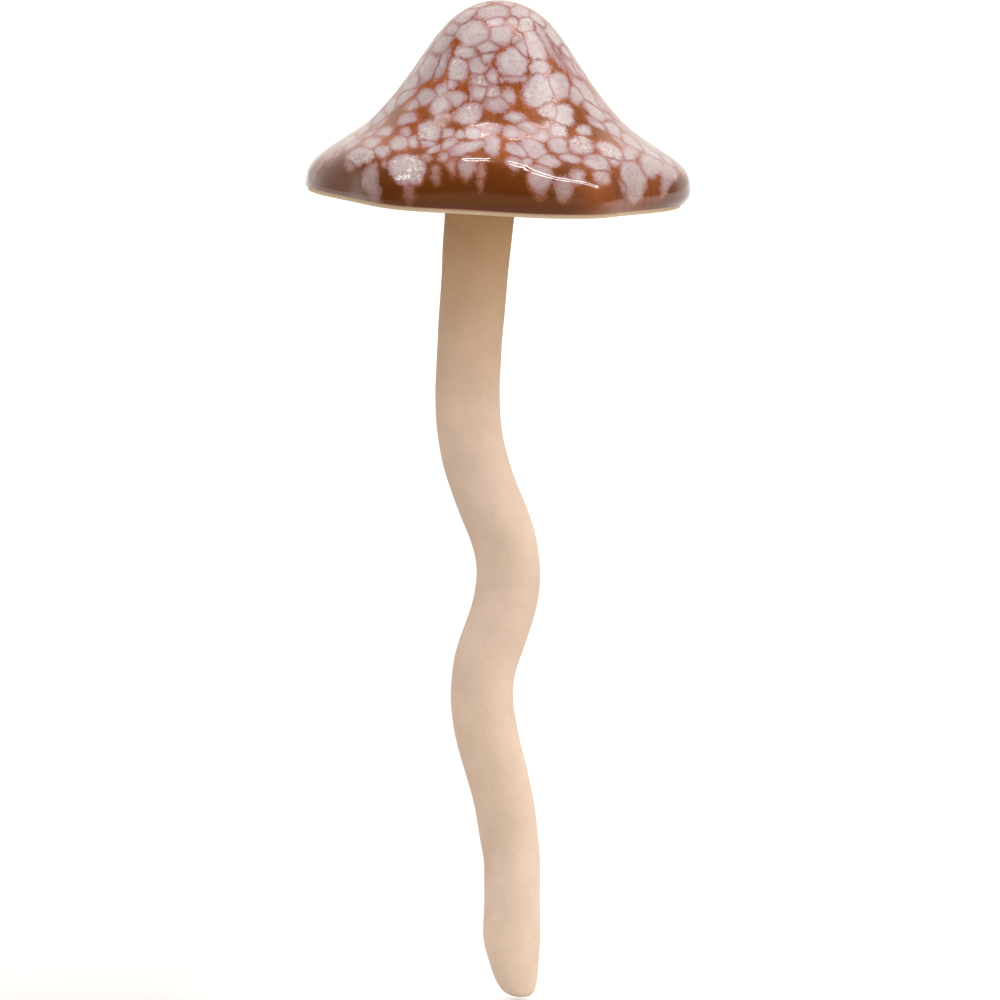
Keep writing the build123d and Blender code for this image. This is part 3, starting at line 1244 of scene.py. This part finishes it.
@dataclass
class GlazedCap:
    """The cap: its glaze coat, its clay bell with a softened foot ring, and the collar under the crown."""

    bell: BellShape
    view: PhotoView
    stem: StemShape
    skin: float = 0.06 * MM

    # Glaze coat
    coat_levels: tuple[int, int] = (165, 24)
    lip_steps: int = 7
    relief: float = 0.05 * MM
    relief_edge: Span = (-0.2, 0.5)
    unevenness: float = 0.10 * MM
    uneven_drift: Span = (21 * MM, 5.3)
    even_edge: Span = (0.9, 1.0)
    slope_squeeze: float = 7.0
    rough_end: float = 0.99
    rough_steps: tuple[int, int] = (90, 181)

    # Clay bell
    bell_levels: tuple[int, int] = (24, 96)
    bell_turns: int = 240
    foot_steps: int = 16
    foot_rounding: float = 0.9 * MM
    foot_squareness: float = 5.0
    foot_wear: float = 0.12 * MM
    wear_drift: Span = (9 * MM, 7.7)
    throwing_pitch: float = 3.4 * MM
    throwing_depth: float = 0.16 * MM
    ring_strength: Span = (0.7, 0.6)
    hand_drift: Span = (15 * MM, 2.9)
    hand_depth: float = 0.3 * MM
    ring_start: Span = (0.05, 0.2)
    ring_end: Span = (1.0, 0.9)

    # Collar
    collar_turns: int = 128
    collar_wall: float = 3.5 * MM
    collar_depth: float = 18.0 * MM
    collar_roof: float = 9.0 * MM
    collar_lip: float = 1.1 * MM
    floor_edge: float = 1.0 * MM
    floor_rounding: float = 0.8 * MM
    floor_angles: tuple[int, ...] = (70, 45, 20)
    bore_shares: tuple[float, ...] = (0.12, 0.3, 0.5, 0.7, 0.88)
    inner_lip_angles: tuple[int, ...] = (180, 204, 228, 252, 270)
    outer_lip_angles: tuple[int, ...] = (275, 295, 318, 340, 360)
    luting: Points = (
        (0.0, 0.86),
        (0.0, 0.8),
        (0.0, 0.73),
        (0.25 * MM, 0.66),
        (0.9 * MM, 0.58),
        (2.3 * MM, 0.50),
        (4.2 * MM, 0.44),
        (6.0 * MM, 0.38),
        (5.6 * MM, 0.25),
        (3.0 * MM, 0.0),
    )
    roof_shares: Points = ((0.70, 0.7), (0.0, 1.0))
    press_drift: Span = (7 * MM, 4.4)
    press_depth: float = 0.22 * MM
    press_band: float = 0.6 * MM
    press_rise: float = 4 * MM

    def build(self, glaze: bpy.types.Material, clay: bpy.types.Material) -> list[bpy.types.Object]:
        """Builds and dresses the three pieces.

        Args:
            glaze: Finish of the coat.
            clay: Finish of the bell and collar.

        Returns:
            The pieces.
        """
        coat = self.glaze_coat()
        settle(coat, Body.CAP, "cap_glaze", glaze)
        body = self.clay_bell()
        settle(body, Body.CAP, "cap_body", clay)
        collar = self.socket_collar()
        settle(collar, Body.CAP, "stem_socket", clay)
        return [coat, body, collar]

    def mean_profile(self, inset: float, ways: np.ndarray) -> np.ndarray:
        """Radius and height of profile points on a bell as it is spun, before its lobes are pushed out."""
        depth_curve, lobe_curve, valley_curve = self.bell.curves
        radius = (self.bell.reach - inset) * (lobe_curve(ways) + valley_curve(ways)) / 2
        return np.stack((radius, -inset - depth_curve(ways) * (self.bell.height - inset)), axis=1)

    def spin_shell(
        self, name: str, insets: Span, levels: tuple[int, int], edge: np.ndarray, sag: Any, steps: int
    ) -> Shell:
        """Spins a shell of the cap, still without lobes.

        Args:
            name: Name of the new piece.
            insets: Thickness between the glazed surface and its outside, then its inside.
            levels: Number of profile points on its outside, then on its inside.
            edge: Shares of the way from the outside to the inside at which the lower edge has points.
            sag: How far these hang below the straight line.
            steps: Number of steps in the full turn.

        Returns:
            The shell.
        """
        outer, inner = np.linspace(0, 1, levels[0]), np.linspace(1, 0, levels[1])
        outside, inside = self.mean_profile(insets[0], outer), self.mean_profile(insets[1], inner)
        between = outside[-1] + (inside[0] - outside[-1]) * edge[:, None]
        between[:, 1] -= sag
        profile = np.concatenate((outside, between, inside))
        piece = spin_profile(name, profile, steps)
        station, turn = read_stations(piece, profile)
        share = np.concatenate((outer, edge, inner))[station]
        return Shell(piece, turn, share, station < levels[0], station >= levels[0] + len(edge))

    def edge_sides(self, shell: Shell, insets: Span, ends: tuple[Curve, Curve]) -> list[np.ndarray]:
        """Where the outside and the inside of a shell end, at the turn of each vertex of its edge."""
        turn = shell.turn[shell.is_edge]
        return [self.bell.wall(inset, end(turn), turn) for inset, end in zip(insets, ends)]

    def ends_by_turn(self, inset: float, above: float) -> Curve:
        """How far along its profile a bell comes down to a height over the rim's plane, for any turn."""
        turns = np.linspace(-pi, pi, TURNS + 1)
        ends = self.bell.end_along(inset, above, turns)
        return lambda turn: np.interp(turn, turns, ends)

    def glaze_coat(self) -> bpy.types.Object:
        """The coat fused on the outside, pushed out into lobes, with a rolled lower edge and raised spots."""
        bell, coat = self.bell, self.bell.glaze_coat
        lip = np.arange(1, self.lip_steps + 1) / (self.lip_steps + 1)
        sag = coat / 2 * np.sin(pi * lip)
        shell = self.spin_shell("glaze_coat", (0.0, coat), self.coat_levels, lip, sag, TURNS)
        edge = bell.bare_rim + coat / 2
        ends = self.ends_by_turn(0.0, edge), self.ends_by_turn(coat - self.skin, edge)
        turn, way = shell.turn, shell.ways(*ends)
        full_way = np.where(shell.is_edge, ends[0](turn), way)
        inset = np.where(shell.is_inner, coat - self.skin, self.skin)
        places = bell.wall(inset, full_way, turn)

        uneven = self.unevenness * (0.5 + 0.5 * drift(places, *self.uneven_drift)[:, 0])
        spots = SpotField(bell, self.view, self.rough_surface())
        spots.lay_seen([Spot(*row) for row in CROWN_SPOTS + LEFT_SPOTS + RIGHT_SPOTS])
        spots.lay_unseen()
        log.info("laid %d spots on the glaze", len(spots.marks))
        pattern = spots.measure(places, way)
        lowered = self.relief * (1 - ease(pattern["spot_depth"], *self.relief_edge))
        above_edge = 1 - ease(way, *self.even_edge)
        sunk = np.where(shell.is_outer, uneven * above_edge + lowered * above_edge, 0)
        places = bell.wall(inset + sunk, full_way, turn)

        share = shell.share[shell.is_edge]
        first, last = self.edge_sides(shell, (self.skin, coat - self.skin), ends)
        half = np.linalg.norm(last - first, axis=1) / 2
        swing = (1 - np.cos(pi * share)) / 2
        rolled = first + (last - first) * swing[:, None]
        rolled -= (half * np.sin(pi * share))[:, None] * np.array(bell.rim_direction)
        places[shell.is_edge] = rolled
        move_corners(shell.piece, places)

        for name, values in pattern.items():
            write_attribute(shell.piece, name, values)
        write_attribute(shell.piece, "fall", np.clip(way, 0, 1))
        ring = np.stack((np.sin(turn), np.cos(turn), way / self.slope_squeeze), axis=1) * bell.reach
        write_attribute(shell.piece, "slope_place", ring)
        return shell.piece

    def rough_surface(self) -> BVHTree:
        """A light copy of the outside, for casting the spots onto it."""
        levels, turns = self.rough_steps
        ways = np.linspace(0, self.rough_end, levels)
        grid_way, grid_turn = np.meshgrid(ways, np.linspace(-pi, pi, turns), indexing="ij")
        points = self.bell.wall(0, grid_way, grid_turn).reshape(-1, 3)
        starts = [row * turns + column for row in range(levels - 1) for column in range(turns - 1)]
        faces = [(start, start + turns, start + turns + 1, start + 1) for start in starts]
        return BVHTree.FromPolygons([Vector(p) for p in points], faces)

    def clay_bell(self) -> bpy.types.Object:
        """The clay under the glaze, with its foot ring and the throwing rings of its hollow."""
        bell, rounding = self.bell, self.foot_rounding
        insets = outside, hollow = bell.glaze_coat, bell.glaze_coat + bell.clay_wall
        foot = (1 - np.cos(pi * np.arange(1, self.foot_steps + 1) / (self.foot_steps + 1))) / 2
        shell = self.spin_shell("clay_bell", insets, self.bell_levels, foot, rounding, self.bell_turns)
        ends = self.ends_by_turn(outside, rounding), self.ends_by_turn(hollow, rounding)
        turn, way = shell.turn, shell.ways(*ends)
        places = bell.wall(np.where(shell.is_inner, hollow, outside), way, turn)

        depth = bell.crown.z - places[:, 2]
        rings = np.sin(2 * pi * depth / self.throwing_pitch + turn)
        wander = drift(places, *self.hand_drift)[:, 0]
        fade = ease(way, *self.ring_start) * ease(way, *self.ring_end)
        strength = self.ring_strength[0] + self.ring_strength[1] * wander
        cut = (self.throwing_depth * rings * strength + self.hand_depth * wander) * fade
        places = bell.wall(np.where(shell.is_inner, hollow + cut, outside), way, turn)

        share = shell.share[shell.is_edge]
        first, last = self.edge_sides(shell, insets, ends)
        drop = rounding * (1 - np.abs(1 - 2 * share) ** self.foot_squareness) ** (1 / self.foot_squareness)
        wear = self.foot_wear * (0.5 + 0.5 * drift(first, *self.wear_drift)[:, 1])
        rounded = first + (last - first) * share[:, None]
        rounded -= (drop - wear * np.sin(pi * share))[:, None] * np.array(bell.rim_direction)
        places[shell.is_edge] = rounded
        move_corners(shell.piece, places)
        return shell.piece

    def socket_collar(self) -> bpy.types.Object:
        """The cup that takes the stem, luted under the crown with a smoothed coil."""
        bore = self.stem.seat_radius + self.stem.seat_clearance
        wall = bore + self.collar_wall
        mouth, lip, corner = -self.collar_depth, self.collar_lip, self.floor_rounding
        points = [(0.0, 0.0), (bore / 2, 0.0), (bore - self.floor_edge, 0.0)]
        points += [self.around(bore - corner, -corner, corner, angle) for angle in self.floor_angles]
        points += [(bore, depth * mouth) for depth in self.bore_shares]
        points += [self.around(bore + lip, mouth + lip, lip, angle) for angle in self.inner_lip_angles]
        points += [self.around(wall - lip, mouth + lip, lip, angle) for angle in self.outer_lip_angles]
        points += [(wall + out, share * mouth) for out, share in self.luting]
        points += [(in_share * wall, rise * self.collar_roof) for in_share, rise in self.roof_shares]
        piece = spin_profile("socket_collar", np.array(points), self.collar_turns)

        places = corners(piece)
        outside = ease(np.hypot(places[:, 0], places[:, 1]), wall - self.press_band, wall)
        raised = ease(places[:, 2], mouth, mouth + self.press_rise)
        press = drift(places, *self.press_drift)[:, 0] * self.press_depth * outside * raised
        sideways = unit(places * np.array((1, 1, 0)) + 1e-9)
        places = places + sideways * press[:, None]
        turned = Matrix.Rotation(self.stem.seat_lean, 3, "Y")
        places = places @ np.array(turned).T + np.array(self.stem.seat)
        move_corners(piece, places)
        return piece

    @staticmethod
    def around(radius: float, height: float, reach: float, angle: float) -> tuple[float, float]:
        """Point of a rounding: its middle's radius and height, its own radius, and an angle in degrees."""
        return radius + reach * cos(radians(angle)), height + reach * sin(radians(angle))


# The stem


@dataclass
class RolledStem:
    """The stem: one coil rolled by hand, extruded ring by ring along its bends and softly dented."""

    shape: StemShape
    sides: int = 72
    ring_gap: float = 2.4 * MM
    ring_slack: float = 0.01 * MM
    upright_to: float = 12 * MM
    seat_shares: tuple[float, ...] = (0, 0.25, 0.5, 0.75, 1)
    tip_insets: Span = (0.45, 0.3)
    tip_bulge: float = 0.1 * MM
    seat_angles: tuple[int, ...] = (22, 45, 67, 90)
    seat_insets: Span = (0.2, 0.35)
    dent_size: float = 15 * MM
    dent_depth: float = 0.55 * MM
    dent_middle: float = 0.55
    dent_start: Span = (2 * MM, 22 * MM)
    dent_end: Span = (4 * MM, -14 * MM)
    skin: float = 0.06 * MM

    def build(self, clay: bpy.types.Material) -> list[bpy.types.Object]:
        """Builds and dresses the stem."""
        piece = self.coil()
        settle(piece, Body.STEM, "stem", clay)
        return [piece]

    def stations(self) -> tuple[np.ndarray, np.ndarray]:
        """Middles of the rings from the tip up to the seat, and their radii."""
        shape = self.shape
        rings = []
        for depth, lean, share in reversed(shape.tip_shares):
            height = -shape.foot_depth - depth * shape.tip_length
            rings.append((shape.tip_lean * lean, height, share * shape.foot_radius))
        for height in (-shape.foot_depth, -shape.foot_depth / 2, 0.0, shape.foot_above_soil):
            rings.append((0.0, height, shape.foot_radius))
        for rise, sway, share in shape.bend_shares:
            rings.append((sway * shape.sway, rise * shape.rise, share * shape.radius))
        for share in self.seat_shares:
            place = shape.shoulder + shape.seat_direction * shape.seat_length * share
            rings.append((place.x, place.z, shape.seat_radius))
        table = np.array(rings)
        gaps = np.hypot(np.diff(table[:, 0]), np.diff(table[:, 1]))
        along = np.concatenate(([0], np.cumsum(gaps)))
        curves = [smooth_curve(along, table[:, column]) for column in range(3)]
        tip_count = len(shape.tip_shares)
        tip_end, seat_start = along[tip_count], along[-1] - shape.seat_rounding
        halfway = (along[:tip_count] + along[1 : tip_count + 1]) / 2
        low = np.sort(np.concatenate((along[:tip_count], halfway)))
        middle = np.linspace(tip_end, seat_start, ceil((seat_start - tip_end) / self.ring_gap))
        ways = np.concatenate((low, middle))
        heights = np.maximum(curves[1](ways), table[0, 1] + 2 * self.skin)
        places = np.stack((curves[0](ways), np.zeros(len(ways)), heights), axis=1)
        return places, curves[2](ways) - self.skin

    def coil(self) -> bpy.types.Object:
        """Extrudes the coil, rounds its ends, smooths it and presses soft dents into it."""
        places, radii = self.stations()
        along = unit(np.gradient(places, axis=0))
        leans = np.arctan2(along[:, 0], along[:, 2]) * ease(places[:, 2], 0, self.upright_to)

        bpy.ops.object.select_all(action="DESELECT")
        bpy.ops.mesh.primitive_circle_add(
            vertices=self.sides, radius=radii[0], fill_type="NGON", location=places[0], rotation=(0, 0, 0)
        )
        piece = fresh_mesh("rolled_stem")
        bpy.ops.object.transform_apply(location=True, rotation=True, scale=True)
        bpy.ops.object.mode_set(mode="EDIT")
        bpy.ops.mesh.select_all(action="SELECT")
        bpy.ops.mesh.inset(thickness=radii[0] * self.tip_insets[0])
        bpy.ops.transform.translate(value=(0, 0, self.skin - self.tip_bulge))
        bpy.ops.mesh.inset(thickness=radii[0] * self.tip_insets[1])
        self.select_ring(piece, places[0], radii[0])
        for index in range(1, len(places)):
            self.next_ring(places, radii, leans, index)
        self.round_seat(radii[-1])
        bpy.ops.mesh.select_all(action="SELECT")
        bpy.ops.mesh.normals_make_consistent(inside=False)
        bpy.ops.object.mode_set(mode="OBJECT")
        self.soften(piece)
        return piece

    def select_ring(self, piece: bpy.types.Object, middle: np.ndarray, radius: float) -> None:
        """Selects the edges of the open ring that is extruded next."""
        bpy.ops.mesh.select_all(action="DESELECT")
        bpy.ops.object.mode_set(mode="OBJECT")
        for edge in piece.data.edges:
            ends = [piece.data.vertices[v].co - Vector(middle) for v in edge.vertices]
            edge.select = all(abs(hypot(end.x, end.y) - radius) < self.ring_slack for end in ends)
        bpy.ops.object.mode_set(mode="EDIT")
        bpy.ops.mesh.select_mode(type="EDGE")

    @staticmethod
    def next_ring(places: np.ndarray, radii: np.ndarray, leans: np.ndarray, index: int) -> None:
        """Extrudes the selected ring to its next place, then leans and sizes it there."""
        step, middle = places[index] - places[index - 1], tuple(places[index])
        bpy.ops.mesh.extrude_edges_move(TRANSFORM_OT_translate={"value": tuple(step)})
        lean = leans[index] - leans[index - 1]
        bpy.ops.transform.rotate(value=-lean, orient_axis="Y", center_override=middle)
        growth = radii[index] / radii[index - 1]
        bpy.ops.transform.resize(value=(growth, growth, growth), center_override=middle)

    def round_seat(self, radius: float) -> None:
        """Rounds the edge of the flat end that carries the cap, and closes it."""
        shape, up = self.shape, self.shape.seat_direction
        rounding = shape.seat_rounding
        base = shape.seat - up * rounding
        reach, height = radius, 0.0
        for angle in self.seat_angles:
            next_reach = radius - rounding * (1 - cos(radians(angle)))
            next_height = (rounding - self.skin) * sin(radians(angle))
            step = up * (next_height - height)
            bpy.ops.mesh.extrude_edges_move(TRANSFORM_OT_translate={"value": tuple(step)})
            middle = base + up * next_height
            growth = next_reach / reach
            bpy.ops.transform.resize(value=(growth, growth, growth), center_override=tuple(middle))
            reach, height = next_reach, next_height
        bpy.ops.mesh.edge_face_add()
        for share in self.seat_insets:
            bpy.ops.mesh.inset(thickness=reach * share)

    def soften(self, piece: bpy.types.Object) -> None:
        """Smooths the coil and dents it between the foot and the seat."""
        smooth = piece.modifiers.new("smooth", "SUBSURF")
        smooth.levels = smooth.render_levels = 1
        bpy.ops.object.modifier_apply(modifier=smooth.name)
        heights = corners(piece)[:, 2]
        ends = [self.shape.rise + reach for reach in self.dent_end]
        shares = ease(heights, *self.dent_start) * ease(heights, *ends)
        group = piece.vertex_groups.new(name="rolled")
        for index, share in enumerate(shares):
            if share > 0:
                group.add([index], float(share), "REPLACE")
        hands = bpy.data.textures.new("finger_dents", "CLOUDS")
        hands.noise_scale = self.dent_size
        hands.noise_depth = 1
        dents = piece.modifiers.new("dents", "DISPLACE")
        dents.texture = hands
        dents.texture_coords = "LOCAL"
        dents.vertex_group = group.name
        dents.strength = self.dent_depth
        dents.mid_level = self.dent_middle
        bpy.ops.object.modifier_apply(modifier=dents.name)
        bpy.ops.object.shade_smooth()


# Studio


@dataclass(frozen=True)
class TubePair:
    """Two soft tubes that hang side by side and shine straight down: one in front, and one behind it."""

    name: str
    across: float
    front: float
    back: float
    length: float
    width: float
    power: float
    height: float = 1.75

    def hang(self) -> None:
        """Adds the two lamps."""
        for side, place in (("front", self.front), ("back", self.back)):
            bpy.ops.object.light_add(type="AREA", location=(self.across, place, self.height))
            lamp = bpy.context.active_object
            lamp.name = f"{self.name}_{side}_tube"
            lamp.data.shape = "RECTANGLE"
            lamp.data.size, lamp.data.size_y = self.length, self.width
            lamp.data.energy = self.power


@dataclass(frozen=True)
class Glow:
    """A broad soft light of the room.

    Its direction, the angles between which it fades out, and its strength as a light and as a reflection.
    """

    direction: tuple[float, float, float]
    inner: float
    outer: float
    light: float
    mirrored: float


@dataclass(frozen=True)
class Studio:
    """Plain pale floor, white surroundings with broad soft lights, and narrow overhead tubes."""

    foot_height: float
    floor_gap: float = 0.8 * MM
    horizon_light: float = 0.36
    zenith_light: float = 0.66
    front_gloss: float = 0.04
    back_gloss: float = 1.0
    table_gloss: float = 0.6
    front_tint: Colour = (1.0, 0.74, 0.5)
    back_tint: Colour = (1.0, 0.94, 0.87)
    glows: tuple[Glow, ...] = (
        Glow((0.64, -0.76, 0.06), radians(5), radians(38), 1.4, 0.0),
        Glow((0.78, -0.46, 0.45), radians(5), radians(52), 0.6, 0.4),
        Glow((0.88, 0.05, 0.45), radians(5), radians(38), 0.2, 0.25),
        Glow((-0.9, -0.3, 0.2), radians(0), radians(45), 0.6, 0.0),
        Glow((-0.92, 0.4, 0.0), radians(0), radians(30), 0.1, 0.45),
    )
    floor_reach: float = 14.0
    floor_sides: int = 96
    sheen_reach: Span = (-0.3, 0.2)
    shade_reach: Span = (0.02, 0.12)
    lift_reach: Span = (0.25, 2.2)
    table_heights: Span = (0.32, 0.16)
    table_fade: Span = (-0.4, -0.8)
    back_fade: Span = (0.36, 0.72)
    sky_heights: Span = (-0.1, 0.75)
    tint_fade: Span = (0.5, -0.1)
    card_tone: Colour = (0.74, 0.73, 0.71)
    floor_tone: Colour = (0.46, 0.43, 0.4)
    floor_lift: float = 0.5
    far_lift: float = 0.86
    tubes: tuple[TubePair, ...] = (
        TubePair("left", -1.1, -0.04, 0.14, 0.7, 0.04, 2.1),
        TubePair("middle", -0.18, -0.06, 0.16, 0.4, 0.05, 2.4),
        TubePair("right", 1.3, -0.04, 0.14, 2.2, 0.04, 8.5),
    )

    def set_up(self) -> None:
        """Lays the floor, hangs the lamps and whitens the surroundings."""
        bpy.ops.object.select_all(action="DESELECT")
        middle = (0, 0, self.foot_height - self.floor_gap)
        bpy.ops.mesh.primitive_circle_add(
            vertices=self.floor_sides, radius=self.floor_reach, fill_type="NGON", location=middle
        )
        floor = fresh_mesh("pale_floor")
        floor.data.materials.append(self.floor_finish())
        floor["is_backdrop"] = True
        for pair in self.tubes:
            pair.hang()
        self.whiten()

    def floor_finish(self) -> bpy.types.Material:
        """Pale floor that reads white to the camera and keeps the object's shadow."""
        material, wiring, output = start_material("pale_floor")
        rays = wiring.add("LightPath", {}).outputs
        back = wiring.add("SeparateXYZ", {0: wiring.own_place()}).outputs["Y"]
        sheet = wiring.step(back, *self.sheen_reach)
        seen = wiring.larger(rays["Is Camera Ray"], wiring.times(rays["Is Glossy Ray"], sheet))
        out = wiring.add("VectorMath", {0: wiring.own_place()}, operation="LENGTH").outputs["Value"]
        tone = wiring.mix(wiring.step(out, *self.shade_reach), self.card_tone, self.floor_tone)
        matt = wiring.add("BsdfDiffuse", {"Color": tone}).outputs[0]
        glow = wiring.times(seen, wiring.step(out, *self.lift_reach, self.floor_lift, self.far_lift))
        lift = wiring.add("Emission", {"Color": (1.0, 1.0, 1.0), "Strength": glow})
        lit = wiring.add("AddShader", {0: matt, 1: lift.outputs[0]}).outputs[0]
        clear = wiring.add("BsdfTransparent", {}).outputs[0]
        under = wiring.add("NewGeometry", {}).outputs["Backfacing"]
        surface = wiring.add("MixShader", {0: under, 1: lit, 2: clear}).outputs[0]
        wiring.feed(output.inputs["Surface"], surface)
        return material

    def whiten(self) -> None:
        """White surroundings behind the object for camera and reflections, dimmer in front and as a light."""
        world = bpy.data.worlds.new("white_room")
        bpy.context.scene.world = world
        world.use_nodes = True
        world.node_tree.nodes.clear()
        wiring = Wiring(world.node_tree)
        rays = wiring.add("LightPath", {}).outputs
        mirrored = wiring.larger(rays["Is Glossy Ray"], rays["Is Transmission Ray"])
        way = wiring.add("TexCoord", {}).outputs["Generated"]
        parts = wiring.add("SeparateXYZ", {0: way}).outputs
        behind = parts["Y"]
        table = wiring.step(parts["Z"], *self.table_heights, 0.0, self.table_gloss)
        table = wiring.times(table, wiring.step(behind, *self.table_fade))
        room = wiring.step(behind, *self.back_fade, self.front_gloss, self.back_gloss)
        sheen = wiring.larger(table, room)
        light = wiring.step(parts["Z"], *self.sky_heights, self.horizon_light, self.zenith_light)
        for glow in self.glows:
            towards = tuple(Vector(glow.direction).normalized())
            facing = wiring.add("VectorMath", {0: way, 1: towards}, operation="DOT_PRODUCT").outputs["Value"]
            share = wiring.step(facing, cos(glow.outer), cos(glow.inner))
            light = wiring.sum(wiring.times(share, glow.light), light)
            sheen = wiring.sum(wiring.times(share, glow.mirrored), sheen)
        strength = wiring.sum(light, wiring.times(mirrored, wiring.less(sheen, light)))
        strength = wiring.larger(strength, rays["Is Camera Ray"])
        tint = wiring.mix(wiring.step(behind, *self.tint_fade), self.back_tint, self.front_tint)
        tint = wiring.mix(mirrored, (1.0, 1.0, 1.0), tint)
        glow = wiring.add("Background", {"Color": tint, "Strength": strength})
        output = wiring.add("OutputWorld", {})
        wiring.feed(output.inputs["Surface"], glow.outputs[0])


def main() -> None:
    """Builds the camera, the cap, the stem and the studio in order, and reports each piece."""
    logging.basicConfig(level=logging.INFO, format="%(name)s: %(message)s")
    noise.seed_set(WANDER_SEED)
    bpy.context.scene.view_settings.view_transform = "Standard"
    cad_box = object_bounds()
    view = PhotoView()
    view.set_up()

    stem_shape = StemShape()
    # The last colour of each clay is its painted shade towards the top.
    stem_clay = BisqueFinish(
        "stem_bisque", paint(236, 208, 184), paint(240, 212, 191), paint(192, 152, 120), paint(202, 162, 119)
    )
    cap_clay = BisqueFinish(
        "cap_bisque", paint(238, 212, 180), paint(233, 203, 168), paint(190, 148, 112), paint(237, 209, 175)
    )
    glaze = ReactiveGlaze()

    pieces = GlazedCap(BellShape(stem_shape), view, stem_shape).build(glaze.material(), cap_clay.material())
    pieces += RolledStem(stem_shape).build(stem_clay.material())
    for piece in pieces:
        log.info("%s: %d faces", piece.name, len(piece.data.polygons))

    Studio(foot_height=cad_box[0].z).set_up()


if __name__ == "__main__":
    main()
